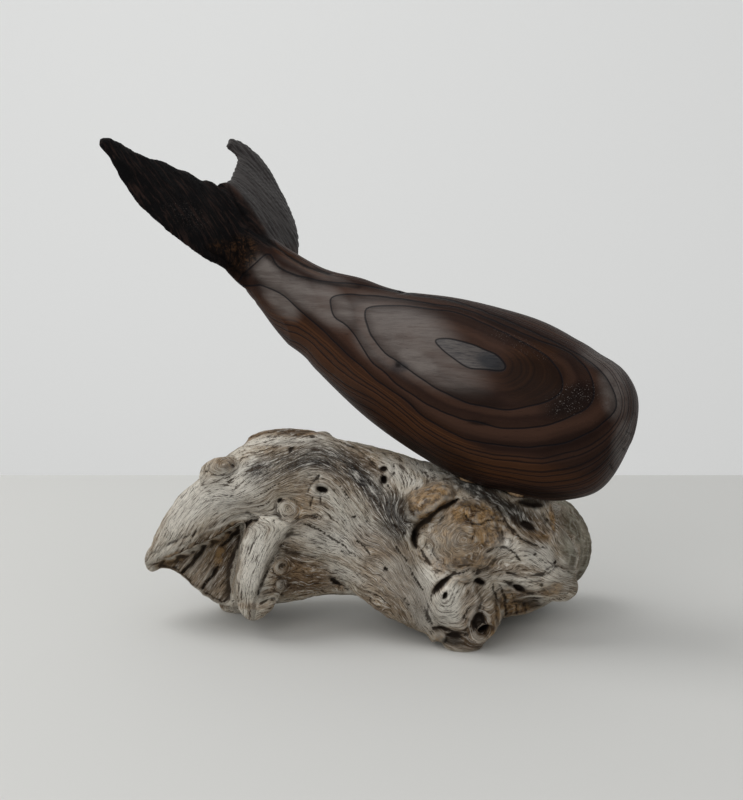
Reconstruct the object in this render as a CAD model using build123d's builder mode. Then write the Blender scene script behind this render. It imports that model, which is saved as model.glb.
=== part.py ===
"""Carved whale lying on a driftwood root, held by two hidden dowels.

Lengths are in millimetres. +X runs from the flukes to the head, +Y away from
the front of the piece and +Z up. The origin is on the surface that the root
stands on, under the middle of the whole piece.
"""
from build123d import *
import os
from math import cos, radians, sin

# Driving dimensions of the driftwood root
base_length = 230.0
base_depth = 100.0
base_height = 98.0

# Driving dimensions of the whale
body_height = 89.0
body_width = 67.0
spine_reach = 230.0
tail_rise = 103.0
fluke_span = 128.0
fluke_chord = 62.0
fluke_droop = 16.0
fluke_thickness = 9.0
whale_yaw = 27.0
fluke_pitch = 55.0

# Step across the back, where the hump ends
hump_step_depth = 2.2
hump_step_length = 7.0
hump_step_width = 12.0

# Dowels and their bores
dowel_diameter = 8.0
dowel_length = 40.0
dowel_spacing = 26.0
dowel_chamfer = 0.8
flute_depth = 0.4
flute_count = 8
bore_radial_clearance = 0.1
bore_end_clearance = 1.0

# Gap that the glue fills between the belly and its seat
glue_gap = 0.3

# One overrun serves every cut
overrun = 10.0

# The log's axis lies in front of the middle of the piece, and the whale's axis
# crosses over the seat, which is a place on the root
root_y = base_depth * -0.21
seat_x = base_length * 0.278
seat_y = root_y + base_depth * -0.205
seat_z = base_height * 0.76
axis_z = seat_z + body_height * 0.507


# How far the curves' handles lie below the top, so that each section has a
# faint crest along its top and a faint keel along its bottom
crest_share = 0.015


def egg_outline(front, back, up, down, fullness):
    """Closed outline of four curves round the origin of its plane."""
    crest = up * (1 - crest_share)
    keel = down * (1 - crest_share)
    with BuildLine() as outline:
        Bezier((back, 0), (back, up * fullness), (back * fullness, crest), (0, up))
        Bezier((0, up), (-front * fullness, crest), (-front, up * fullness), (-front, 0))
        Bezier((-front, 0), (-front, -down * fullness), (-front * fullness, -keel), (0, -down))
        Bezier((0, -down), (back * fullness, -keel), (back, -down * fullness), (back, 0))
    make_face(outline.edges())


# The root's log, from the broken left end to the right end: place along the
# length, then across and up to the fullest point, then how far the log reaches
# to the front, the back, the top and the bottom of it, and the fullness
log_shares = (
    (-0.487, -0.10, 0.335, 0.045, 0.050, 0.040, 0.040, 0.55),
    (-0.456, -0.09, 0.395, 0.130, 0.150, 0.110, 0.110, 0.56),
    (-0.404, -0.08, 0.455, 0.240, 0.250, 0.225, 0.215, 0.57),
    (-0.339, -0.07, 0.480, 0.310, 0.330, 0.325, 0.370, 0.58),
    (-0.270, -0.04, 0.500, 0.345, 0.370, 0.425, 0.440, 0.60),
    (-0.196, -0.02, 0.530, 0.340, 0.390, 0.455, 0.455, 0.60),
    (-0.122, 0.00, 0.550, 0.350, 0.390, 0.435, 0.445, 0.60),
    (-0.035, 0.01, 0.545, 0.350, 0.380, 0.390, 0.425, 0.60),
    (0.052, -0.01, 0.515, 0.365, 0.380, 0.370, 0.445, 0.60),
    (0.139, -0.04, 0.470, 0.400, 0.390, 0.355, 0.445, 0.60),
    (0.226, -0.07, 0.440, 0.410, 0.420, 0.360, 0.430, 0.60),
    (0.304, -0.07, 0.420, 0.420, 0.440, 0.350, 0.385, 0.58),
    (0.374, -0.02, 0.380, 0.410, 0.410, 0.285, 0.320, 0.57),
    (0.435, 0.06, 0.360, 0.330, 0.320, 0.250, 0.270, 0.56),
    (0.487, 0.14, 0.350, 0.200, 0.220, 0.185, 0.170, 0.56),
    (0.512, 0.17, 0.350, 0.080, 0.080, 0.070, 0.070, 0.55),
)


# Knobs, burls and feet that swell out of the log: place along, across and up,
# half length and radius as shares of the depth, then the azimuth and the tilt
# of the knob's axis in degrees
knob_shares = {
    "arch knob": (-0.300, -0.200, 0.805, 0.14, 0.10, 215, 10),
    "arch ridge": (-0.165, 0.075, 0.945, 0.24, 0.055, 4, 0),
    "thumb lobe": (-0.217, -0.315, 0.360, 0.29, 0.13, 20, 75),
    "left foot": (-0.278, 0.115, 0.070, 0.14, 0.12, 0, 0),
    "front leg": (0.078, -0.290, 0.300, 0.42, 0.21, -17, -30),
    "cradle": (0.262, -0.165, 0.600, 0.34, 0.21, -27, -5),
    "oval knot": (0.148, -0.295, 0.673, 0.18, 0.12, -10, 28),
    "round burl": (0.230, -0.345, 0.541, 0.17, 0.21, -90, 12),
    "right flank": (0.330, -0.300, 0.420, 0.32, 0.23, -12, -12),
    "flap": (0.190, -0.430, 0.250, 0.22, 0.15, 205, 55),
    "hollow knot": (0.240, -0.480, 0.165, 0.16, 0.12, -70, -15),
    "stub": (0.155, -0.450, 0.112, 0.11, 0.055, -110, -50),
    "front foot": (0.212, -0.505, 0.055, 0.11, 0.09, 0, 0),
    "gold knob": (0.410, -0.340, 0.290, 0.15, 0.10, -40, -5),
    "shoulder ridge": (0.392, -0.235, 0.570, 0.16, 0.07, -80, 60),
    "rear lobe": (0.434, 0.155, 0.347, 0.25, 0.20, 170, 75),
    "rear foot": (0.343, 0.275, 0.082, 0.15, 0.13, 0, 0),
}

# Hollows cut into the root, in the same terms
hollow_shares = {
    "fibrous hollow": (-0.104, -0.345, 0.180, 0.20, 0.12, 10, 0),
    "knot hole": (0.252, -0.565, 0.122, 0.09, 0.045, -80, -10),
    "lower recess": (0.365, -0.455, 0.122, 0.16, 0.12, -30, 0),
}

# Broken left end: the face of the break lies this far across, and its outline
# runs along the lip, down beside the thumb lobe and out past the end
break_across_share = -0.125
break_shares = ((-0.52, 0.26), (-0.248, 0.62), (-0.270, 0.41), (-0.305, 0.04), (-0.52, -0.06))


def root_point(along, across, level):
    """Point of the root, from shares of its length, depth and height."""
    return Vector(base_length * along, root_y + base_depth * across, base_height * level)


# Rings of a knob: place along its half length, and swell as a share of its radius
dome_shares = (
    (-0.96, 0.28),
    (-0.78, 0.63),
    (-0.42, 0.91),
    (0, 1),
    (0.42, 0.91),
    (0.78, 0.63),
    (0.96, 0.28),
)
dome_fullness = 0.55


def knob(place, half_length, radius, azimuth, tilt, mode=Mode.ADD):
    """Egg-shaped solid about its long axis, lofted through rings."""
    flat = cos(radians(tilt))
    direction = Vector(flat * cos(radians(azimuth)), flat * sin(radians(azimuth)), sin(radians(tilt)))
    side = Vector(-sin(radians(azimuth)), cos(radians(azimuth)), 0)
    rings = []
    for step, swell in dome_shares:
        centre = place + direction * (half_length * step)
        reach = radius * swell
        with BuildSketch(Plane(origin=centre, x_dir=side, z_dir=direction)) as ring:
            egg_outline(reach, reach, reach, reach, dome_fullness)
        rings.append(ring.sketch)
    loft(rings, mode=mode)


# Whale's directions: forward over the ground, to its far side, and the flukes'
# own aft and dorsal directions
heading = Vector(cos(radians(whale_yaw)), -sin(radians(whale_yaw)), 0)
far_side = Vector(sin(radians(whale_yaw)), cos(radians(whale_yaw)), 0)
upward = Vector(0, 0, 1)
aft = upward * sin(radians(fluke_pitch)) - heading * cos(radians(fluke_pitch))
dorsal = heading * sin(radians(fluke_pitch)) + upward * cos(radians(fluke_pitch))

# Whale's body, from the blunt head to the notch between the flukes: place along
# and above the seat, pitch in degrees, then back, belly and half width as shares
# of the body's height and width, and the fullness of the curves
body_shares = (
    (0.3120, -0.083, -8, 0.055, 0.065, 0.080, 0.56),
    (0.3040, -0.080, -8, 0.145, 0.160, 0.200, 0.57),
    (0.2930, -0.077, -8, 0.200, 0.255, 0.280, 0.58),
    (0.2740, -0.071, -8, 0.255, 0.368, 0.350, 0.59),
    (0.2510, -0.064, -8, 0.296, 0.428, 0.400, 0.60),
    (0.2290, -0.057, -8, 0.318, 0.460, 0.430, 0.60),
    (0.1880, -0.044, -8, 0.356, 0.502, 0.468, 0.60),
    (0.1450, -0.032, -8, 0.396, 0.520, 0.490, 0.59),
    (0.0780, -0.014, -8, 0.450, 0.518, 0.505, 0.58),
    (0.0000, 0.000, -9, 0.485, 0.505, 0.505, 0.57),
    (-0.0870, 0.034, -12, 0.488, 0.465, 0.485, 0.57),
    (-0.1740, 0.080, -17, 0.468, 0.406, 0.435, 0.57),
    (-0.2610, 0.146, -23, 0.415, 0.347, 0.365, 0.57),
    (-0.3390, 0.242, -31, 0.350, 0.308, 0.295, 0.56),
    (-0.4090, 0.350, -36, 0.278, 0.292, 0.240, 0.56),
    (-0.4780, 0.435, -42, 0.222, 0.272, 0.210, 0.56),
    (-0.5300, 0.555, -48, 0.148, 0.226, 0.200, 0.56),
    (-0.5840, 0.680, -52, 0.084, 0.165, 0.180, 0.56),
    (-0.6240, 0.800, -54, 0.050, 0.110, 0.140, 0.56),
    (-0.6540, 0.900, -55, 0.034, 0.060, 0.095, 0.56),
    (-0.6780, 0.985, -55, 0.025, 0.028, 0.060, 0.56),
)

# Flukes, root to tip. Each row gives the leading edge and the trailing edge as
# places out, aft and dorsal of the notch, then the thickness, all as shares of
# the span, the chord, the droop and the thickness of the flukes
near_fluke_shares = (
    (-0.040, -0.900, -0.60, -0.030, -0.050, 0.00, 1.40),
    (0.105, -0.840, -0.70, 0.062, 0.016, -0.03, 1.45),
    (0.185, -0.700, -0.70, 0.117, 0.080, -0.10, 1.25),
    (0.275, -0.580, -0.70, 0.172, 0.160, -0.15, 1.05),
    (0.368, -0.400, -0.74, 0.234, 0.240, -0.22, 0.90),
    (0.422, -0.190, -0.76, 0.320, 0.300, -0.31, 0.78),
    (0.450, 0.020, -0.71, 0.383, 0.398, -0.40, 0.68),
    (0.486, 0.232, -0.65, 0.445, 0.520, -0.50, 0.58),
    (0.528, 0.418, -0.60, 0.500, 0.570, -0.54, 0.50),
    (0.550, 0.500, -0.58, 0.531, 0.564, -0.56, 0.36),
)
far_fluke_shares = (
    (-0.040, -1.020, -0.20, -0.030, -0.050, 0.00, 1.40),
    (0.110, -0.920, 0.10, 0.070, 0.032, -0.03, 1.45),
    (0.235, -0.740, 0.19, 0.125, 0.081, -0.09, 1.15),
    (0.334, -0.520, 0.12, 0.188, 0.153, -0.12, 0.92),
    (0.411, -0.330, -0.06, 0.242, 0.218, -0.19, 0.78),
    (0.465, -0.118, -0.19, 0.289, 0.274, -0.25, 0.68),
    (0.492, 0.125, -0.25, 0.309, 0.312, -0.28, 0.60),
    (0.486, 0.315, -0.31, 0.317, 0.350, -0.31, 0.56),
    (0.450, 0.446, -0.37, 0.318, 0.378, -0.34, 0.54),
    (0.402, 0.508, -0.39, 0.315, 0.410, -0.37, 0.50),
    (0.360, 0.530, -0.41, 0.306, 0.445, -0.39, 0.42),
)

fluke_fullness = 0.55
hump_step_shares = (-0.222, 0.468)
hump_step_pitch = -12


def spine_point(along, rise):
    """Point of the whale's middle plane, from shares of its reach and rise."""
    foot = Vector(seat_x, seat_y, axis_z)
    return foot + heading * (spine_reach * along) + upward * (tail_rise * rise)


def spine_plane(along, rise, pitch):
    """Plane square to the spine: its X points to the far side, its Y to the back."""
    forward = heading * cos(radians(pitch)) + upward * sin(radians(pitch))
    return Plane(origin=spine_point(along, rise), x_dir=far_side, z_dir=forward)


def body_outline(row, growth):
    """One section of the body, grown all round."""
    half_width = body_width * row[5] + growth
    egg_outline(half_width, half_width, body_height * row[3] + growth,
                body_height * row[4] + growth, row[6])


notch_point = spine_point(body_shares[-1][0], body_shares[-1][1])


def fluke_edge(outward, out_share, aft_share, dorsal_share):
    """Point on the edge of a fluke, placed from the notch."""
    across = outward * (fluke_span * out_share)
    return notch_point + across + aft * (fluke_chord * aft_share) + dorsal * (fluke_droop * dorsal_share)


# Dowels stand upright, in line with the whale
dowel_places = [
    Vector(seat_x, seat_y, seat_z) + heading * (dowel_spacing * step)
    for step in (0.5, -0.5)
]
dowel_radius = dowel_diameter / 2
bore_radius = dowel_radius + bore_radial_clearance
bore_length = dowel_length + bore_end_clearance * 2

# Grown copy of the body, which cuts the seat
with BuildPart() as seat_cutter:
    for row in body_shares:
        with BuildSketch(spine_plane(*row[:3])):
            body_outline(row, glue_gap)
    loft()

with BuildPart() as whale:
    for row in body_shares:
        with BuildSketch(spine_plane(*row[:3])):
            body_outline(row, 0)
    loft()
    for shares, outward in ((near_fluke_shares, -far_side), (far_fluke_shares, far_side)):
        for row in shares:
            front_edge = fluke_edge(outward, *row[:3])
            back_edge = fluke_edge(outward, *row[3:6])
            chord = back_edge - front_edge
            half_chord = chord.length / 2
            half_thick = fluke_thickness * row[6] / 2
            middle = (front_edge + back_edge) / 2
            with BuildSketch(Plane(origin=middle, x_dir=chord, z_dir=chord.cross(dorsal))):
                egg_outline(half_chord, half_chord, half_thick, half_thick, fluke_fullness)
        loft()
    # Step across the back, a wedge with its steep side to the tail
    step_plane = spine_plane(*hump_step_shares, hump_step_pitch)
    wedge_plane = Plane(origin=step_plane.origin, x_dir=step_plane.z_dir, z_dir=-step_plane.x_dir)
    wedge_top = hump_step_depth * 2
    with BuildSketch(wedge_plane):
        with BuildLine():
            Polyline((0, 0), (hump_step_length, hump_step_depth), (hump_step_length, wedge_top),
                     (0, wedge_top), close=True)
        make_face()
    extrude(amount=hump_step_width / 2, both=True, mode=Mode.SUBTRACT)
    for place in dowel_places:
        with Locations(place):
            Cylinder(bore_radius, bore_length, mode=Mode.SUBTRACT)

with BuildPart() as driftwood_base:
    for along, across, level, front, back, up, down, fullness in reversed(log_shares):
        centre = root_point(along, across, level)
        with BuildSketch(Plane(origin=centre, x_dir=(0, 1, 0), z_dir=(1, 0, 0))):
            egg_outline(base_depth * front, base_depth * back, base_height * up,
                        base_height * down, fullness)
    loft()
    for row in knob_shares.values():
        knob(root_point(*row[:3]), base_depth * row[3], base_depth * row[4], *row[5:])
    # Broken left end, open to the front
    break_y = root_y + base_depth * break_across_share
    corners = [(base_length * along, base_height * level) for along, level in break_shares]
    with BuildSketch(Plane(origin=(0, break_y, 0), x_dir=(1, 0, 0), z_dir=(0, -1, 0))):
        with BuildLine():
            Polyline(*corners, close=True)
        make_face()
    extrude(amount=base_depth, mode=Mode.SUBTRACT)
    for row in hollow_shares.values():
        knob(root_point(*row[:3]), base_depth * row[3], base_depth * row[4], *row[5:], Mode.SUBTRACT)
    # Feet sanded flat, the seat for the belly and the dowels' bores
    with Locations((0, 0, -overrun)):
        Box(base_length * 2, base_depth * 2, overrun * 2, mode=Mode.SUBTRACT)
    add(seat_cutter.part, mode=Mode.SUBTRACT)
    for place in dowel_places:
        with Locations(place):
            Cylinder(bore_radius, bore_length, mode=Mode.SUBTRACT)

# Two fluted hardwood dowels
dowels = {}
for name, place in zip(("front_dowel", "rear_dowel"), dowel_places):
    with BuildPart() as dowel:
        with Locations(place):
            Cylinder(dowel_radius, dowel_length)
        chamfer(dowel.edges().filter_by(GeomType.CIRCLE), dowel_chamfer)
        with Locations(place):
            with PolarLocations(dowel_radius, flute_count):
                Cylinder(flute_depth, dowel_length, mode=Mode.SUBTRACT)
    dowels[name] = dowel.part

os.makedirs("parts", exist_ok=True)
pieces = {"whale": whale.part, "driftwood_base": driftwood_base.part, **dowels}
for name, piece in pieces.items():
    piece.label = name
    export_step(piece, f"parts/{name}.step")
    print(name, piece.is_valid, len(piece.solids()), round(piece.volume))
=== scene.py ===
"""Looks of the carved whale on its driftwood root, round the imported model.

Everything is in metres in the model's own frame, unless a name or a comment
says millimetres. Places that were read from the photograph are pixels of its
743 by 800 frame, and a fixed projection that equals the camera's carries them
onto the meshes. Colours are given from 0 to 255, as they show.
"""

import math

import bpy
import numpy as np
from mathutils.bvhtree import BVHTree
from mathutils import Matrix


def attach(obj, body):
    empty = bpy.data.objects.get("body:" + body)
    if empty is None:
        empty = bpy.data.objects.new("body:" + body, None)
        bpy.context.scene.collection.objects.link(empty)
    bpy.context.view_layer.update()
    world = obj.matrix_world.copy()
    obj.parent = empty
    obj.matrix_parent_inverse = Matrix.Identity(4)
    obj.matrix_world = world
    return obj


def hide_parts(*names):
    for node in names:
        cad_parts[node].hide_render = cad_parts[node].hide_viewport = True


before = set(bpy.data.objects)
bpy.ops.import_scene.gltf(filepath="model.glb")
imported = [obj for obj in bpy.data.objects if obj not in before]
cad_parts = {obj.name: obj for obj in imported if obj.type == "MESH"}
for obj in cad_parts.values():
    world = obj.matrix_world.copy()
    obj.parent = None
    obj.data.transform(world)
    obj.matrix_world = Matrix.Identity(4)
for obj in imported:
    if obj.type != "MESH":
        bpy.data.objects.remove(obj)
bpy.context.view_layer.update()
MM = 0.001

# The photograph's frame and the view that it was taken from
PHOTO_WIDTH, PHOTO_HEIGHT = 743, 800
FOCAL_PIXELS = 1500
SENSOR_WIDTH = 36
CAMERA_REACH = 0.750
CAMERA_TILT = math.radians(10)
AIM = np.array((0.004, -0.0335, 0.116))
RIGHT = np.array((1.0, 0.0, 0.0))
LOOK = np.array((0.0, math.cos(CAMERA_TILT), -math.sin(CAMERA_TILT)))
LIFT = np.array((0.0, math.sin(CAMERA_TILT), math.cos(CAMERA_TILT)))
EYE = AIM - LOOK * CAMERA_REACH

# Size of the voxels that the meshes are rebuilt from
WHALE_VOXEL = 0.95 * MM
ROOT_VOXEL = 0.98 * MM

# Points worked at a time, to spare memory, and what keeps a division safe
BLOCK = 20000
TINY = 1e-12

# Numbers that stir a cell's place into its noise
PLACE_PRIMES = np.array((374761393, 668265263, 1442695041))
SEED_PRIME = 1274126177
STIR, STIR_SHIFT = 1103515245, 12345
WORD, HALF_WORD = 0xFFFFFFFF, 0xFFFF


def to_photo(points):
    """Pixels of the photograph at which points of the model lie."""
    ray = points - EYE
    scale = FOCAL_PIXELS / (ray @ LOOK)
    across = PHOTO_WIDTH / 2 + (ray @ RIGHT) * scale
    down = PHOTO_HEIGHT / 2 - (ray @ LIFT) * scale
    return np.column_stack([across, down])


def ramp(value, low, high):
    """Smooth step from 0 at low to 1 at high."""
    share = np.clip((value - low) / (high - low), 0, 1)
    return share * share * (3 - 2 * share)


def noise(points, seed):
    """Smooth noise from -1 to 1, one cell to a unit."""
    cell = np.floor(points).astype(np.int64)
    part = points - cell
    ease = part * part * (3 - 2 * part)
    total = np.zeros(len(points))
    for corner in np.ndindex(2, 2, 2):
        key = (cell + np.array(corner)) @ PLACE_PRIMES + seed * SEED_PRIME
        key = (key ^ (key >> 13)) & WORD
        key = (key * STIR + STIR_SHIFT) & WORD
        value = ((key ^ (key >> 16)) & HALF_WORD) / (HALF_WORD / 2) - 1
        total += value * np.prod(np.where(corner, ease, 1 - ease), axis=1)
    return total


def layers(points, seed, count=3):
    """Noise of several sizes added up, each half as large and half as strong."""
    return sum(noise(points * 2 ** i, seed + i) / 2 ** i for i in range(count))


def tremble(points, seed, count=1):
    """Shifts across and down that make a traced line less straight."""
    return np.column_stack([layers(points, seed + extra, count) for extra in (0, 6)])


def in_blocks(work, points):
    """Results of some work on many points, a block at a time."""
    return np.concatenate([work(points[i:i + BLOCK]) for i in range(0, len(points), BLOCK)])


def smooth_field(places, values, where, stiffness):
    """Thin plate through values at places, read at where."""
    def kernel(spots):
        square = ((spots[:, None, :] - places[None, :, :]) ** 2).sum(axis=2) + TINY
        return 0.5 * square * np.log(square)

    count, size = len(places), places.shape[1] + 1
    edge = np.hstack([np.ones((count, 1)), places])
    matrix = np.zeros((count + size, count + size))
    matrix[:count, :count] = kernel(places) + stiffness * np.eye(count)
    matrix[:count, count:] = edge
    matrix[count:, :count] = edge.T
    answer = np.linalg.solve(matrix, np.concatenate([values, np.zeros(size)]))
    bend, level, slope = answer[:count], answer[count], answer[count + 1:]
    return in_blocks(lambda part: kernel(part) @ bend + level + part @ slope, where)


def path_gap(pixels, path):
    """Pixels from each place to a path, and how far along it, from 0 to 1."""
    path = np.array(path, float)
    runs = np.linalg.norm(np.diff(path, axis=0), axis=1)
    passed = np.concatenate([[0], np.cumsum(runs)]) / runs.sum()
    best = np.full(len(pixels), np.inf)
    along = np.zeros(len(pixels))
    for i, (start, end) in enumerate(zip(path[:-1], path[1:])):
        run = end - start
        share = np.clip(((pixels - start) @ run) / (run @ run), 0, 1)
        gap = np.linalg.norm(pixels - start - share[:, None] * run, axis=1)
        closer = gap < best
        best = np.where(closer, gap, best)
        along = np.where(closer, passed[i] + share * (passed[i + 1] - passed[i]), along)
    return best, along


def outline_gap(pixels, outline):
    """Pixels from an outline, above 0 inside it and below 0 outside."""
    outline = np.array(outline, float)
    across, down = pixels.T
    within = np.zeros(len(pixels), bool)
    for (x0, y0), (x1, y1) in zip(outline, np.roll(outline, -1, axis=0)):
        if y0 != y1:
            crossing = (y0 > down) != (y1 > down)
            within ^= crossing & (across < x0 + (down - y0) * (x1 - x0) / (y1 - y0))
    gap = path_gap(pixels, np.vstack([outline, outline[:1]]))[0]
    return np.where(within, gap, -gap)


def inside(pixels, outline, soft):
    """1 inside an outline, 0 outside, with a soft edge some pixels wide."""
    return ramp(outline_gap(pixels, outline), -soft, soft)


def rounded(ring, steps=4):
    """A closed outline led smoothly through its corners."""
    ring = np.array(ring, float)
    a, b, c, d = (np.roll(ring, shift, axis=0) for shift in (1, 0, -1, -2))
    t = np.arange(steps)[:, None, None] / steps
    slope, bend, twist = c - a, 2 * a - 5 * b + 4 * c - d, 3 * b - a - 3 * c + d
    curve = b + slope * t / 2 + bend * t ** 2 / 2 + twist * t ** 3 / 2
    return curve.transpose(1, 0, 2).reshape(-1, 2)


def oval_gap(pixels, x, y, length, width, angle):
    """Distance from an oval's centre, 1 on its outline, from half its length and width."""
    turn = math.radians(angle)
    across, down = pixels[:, 0] - x, pixels[:, 1] - y
    along = across * math.cos(turn) + down * math.sin(turn)
    beside = down * math.cos(turn) - across * math.sin(turn)
    return np.hypot(along / length, beside / width)


def spots(pixels, table):
    """Strength of soft ovals, from 0 to 1."""
    total = np.zeros(len(pixels))
    for *oval, strength in table:
        total = np.maximum(total, strength * (1 - ramp(oval_gap(pixels, *oval), 0.5, 1.3)))
    return total


def values_of(items, name, kind, width):
    """Values of all of a mesh's items, as rows of an array."""
    values = np.empty(len(items) * width, kind)
    items.foreach_get(name, values)
    return values.reshape(-1, width)


class Skin:
    """A fine mesh of quads, held as arrays while its shape is worked."""

    def __init__(self, node, name, voxel):
        self.piece = bpy.data.objects.new(name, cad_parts[node].data.copy())
        bpy.context.scene.collection.objects.link(self.piece)
        remesh = self.piece.modifiers.new("remesh", "REMESH")
        remesh.mode = "VOXEL"
        remesh.voxel_size = voxel
        view = self.piece.evaluated_get(bpy.context.evaluated_depsgraph_get())
        mesh = self.mesh = bpy.data.meshes.new_from_object(view)
        self.piece.modifiers.clear()
        self.piece.data = mesh
        mesh.name = name
        self.points = values_of(mesh.vertices, "co", float, 3)
        self.edges = values_of(mesh.edges, "vertices", np.int32, 2)
        self.quads = values_of(mesh.loops, "vertex_index", np.int32, 1).reshape(-1, 4)
        self.near = np.bincount(self.edges.ravel(), minlength=len(self.points))

    def edge_mean(self, at_first, at_second):
        """Mean over each vertex's edges of the values that its two ends are given."""
        a, b = self.edges.T
        size = len(self.points)
        total = np.bincount(a, at_first, size) + np.bincount(b, at_second, size)
        return total / np.maximum(self.near, 1)

    def gather(self, values):
        """Mean of the values of each vertex's neighbours."""
        a, b = self.edges.T
        return self.edge_mean(values[b], values[a])

    def eased(self, rounds, back=0.0):
        """Points after rounds of smoothing. A share back keeps the volume."""
        points = self.points.copy()
        for _ in range(rounds):
            for step in (0.5, -back) if back else (0.5,):
                mean = np.column_stack([self.gather(points[:, i]) for i in range(3)])
                points += (mean - points) * step
        return points

    def blurred(self, values, rounds):
        """Values spread over the mesh."""
        for _ in range(rounds):
            values = (values + self.gather(values)) / 2
        return values

    def normals(self):
        """Unit normals of the vertices."""
        p = self.points[self.quads]
        face = np.cross(p[:, 2] - p[:, 0], p[:, 3] - p[:, 1])
        total = np.zeros_like(self.points)
        for corner in range(4):
            for i in range(3):
                total[:, i] += np.bincount(self.quads[:, corner], face[:, i], len(self.points))
        return total / np.maximum(np.linalg.norm(total, axis=1, keepdims=True), TINY)

    def seen(self, normals):
        """1 where a vertex faces the photograph's camera, 0 where it turns away."""
        ray = self.points - EYE
        ray /= np.linalg.norm(ray, axis=1, keepdims=True)
        return ramp(-(normals * ray).sum(axis=1), 0.02, 0.30)

    def store(self, values):
        """Keeps named values on the mesh for the material to read."""
        for name, numbers in values.items():
            layer = self.mesh.attributes.new(name, "FLOAT", "POINT")
            layer.data.foreach_set("value", numbers.astype(np.float32))

    def finish(self, node, material):
        """Writes the points back and hands the piece to the frame."""
        self.mesh.vertices.foreach_set("co", self.points.astype(np.float32).ravel())
        self.mesh.shade_smooth()
        self.mesh.materials.clear()
        self.mesh.materials.append(material)
        self.mesh.update()
        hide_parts(node)
        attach(self.piece, "root")


def srgb(tint):
    """Linear colour of a tint given from 0 to 255."""
    parts = (part / 255 for part in tint)
    return (*(part / 12.92 if part < 0.0404 else ((part + 0.055) / 1.055) ** 2.4 for part in parts), 1)


class Graph:
    """Short hand for building a material's nodes."""

    def __init__(self, name):
        self.material = bpy.data.materials.new(name)
        self.material.use_nodes = True
        self.tree = self.material.node_tree

    def put(self, socket, value):
        """Links a socket or sets its number or tint. None leaves it as it is."""
        if isinstance(value, bpy.types.NodeSocket):
            self.tree.links.new(value, socket)
        elif value is not None:
            socket.default_value = srgb(value) if socket.type == "RGBA" else value

    def new(self, kind, inputs, **settings):
        """Outputs of a new node, with its settings made and its inputs linked or set."""
        node = self.tree.nodes.new("ShaderNode" + kind)
        for name, value in settings.items():
            setattr(node, name, value)
        for name, value in inputs.items():
            self.put(node.inputs[name], value)
        return node.outputs

    def read(self, name):
        return self.new("Attribute", {}, attribute_name=name)["Fac"]

    def math(self, kind, a, b=None):
        return self.new("Math", {0: a, 1: b}, operation=kind)[0]

    def plus(self, a, b):
        return self.math("ADD", a, b)

    def times(self, a, b):
        return self.math("MULTIPLY", a, b)

    def most(self, a, b):
        return self.math("MAXIMUM", a, b)

    def rest(self, share):
        """What a share leaves of 1."""
        return self.math("SUBTRACT", 1, share)

    def share(self, name, amount):
        """A stored value, weakened."""
        return self.times(self.read(name), amount)

    def blend(self, share, a, b):
        """Value between two others."""
        return self.plus(self.times(a, self.rest(share)), self.times(b, share))

    def added(self, a, b, amount):
        """Sum of two vectors, the second one scaled."""
        scaled = self.new("VectorMath", {0: b, 1: (amount,) * 3}, operation="MULTIPLY")[0]
        return self.new("VectorMath", {0: a, 1: scaled}, operation="ADD")[0]

    def place(self, *scale):
        """The object's own coordinates, scaled along each axis."""
        own = self.new("TexCoord", {})["Object"]
        return self.new("VectorMath", {0: own, 1: scale}, operation="MULTIPLY")[0]

    def dot(self, vector, aim):
        """Length of a place along a direction."""
        aim = tuple(float(part) for part in aim)
        return self.new("VectorMath", {0: vector, 1: aim}, operation="DOT_PRODUCT")["Value"]

    def join(self, x, y, z):
        return self.new("CombineXYZ", {0: x, 1: y, 2: z})[0]

    def noise(self, vector, scale, detail=3, rough=0.55, part="Fac"):
        inputs = {"Vector": vector, "Scale": scale, "Detail": detail, "Roughness": rough}
        return self.new("TexNoise", inputs)[part]

    def curled(self, place, scale, reach):
        """Places shifted by slow noise, for patterns that curl."""
        return self.added(place, self.noise(place, scale, 2, 0.5, "Color"), reach)

    def step(self, value, low, high, start=0, end=1):
        """Smooth step of a value."""
        inputs = dict(enumerate((value, low, high, start, end)))
        return self.new("MapRange", inputs, interpolation_type="SMOOTHSTEP")[0]

    def mix(self, share, a, b):
        """Mixes two colours."""
        return self.new("Mix", {0: share, 6: a, 7: b}, data_type="RGBA")[2]

    def coats(self, colour, rows):
        """Lays tints over a colour, one by one, each with its share."""
        for share, tint in rows:
            colour = self.mix(share, colour, tint)
        return colour

    def bump(self, height, reach, strength):
        return self.new("Bump", {"Strength": strength, "Distance": reach, "Height": height})[0]

    def surface(self, colour, roughness, shine=None, normal=None):
        """Sets what the shader shows, and gives the material."""
        shader = self.tree.nodes["Principled BSDF"]
        names = ("Base Color", "Roughness", "Specular IOR Level", "Normal")
        for name, value in zip(names, (colour, roughness, shine, normal)):
            self.put(shader.inputs[name], value)
        return self.material


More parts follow.
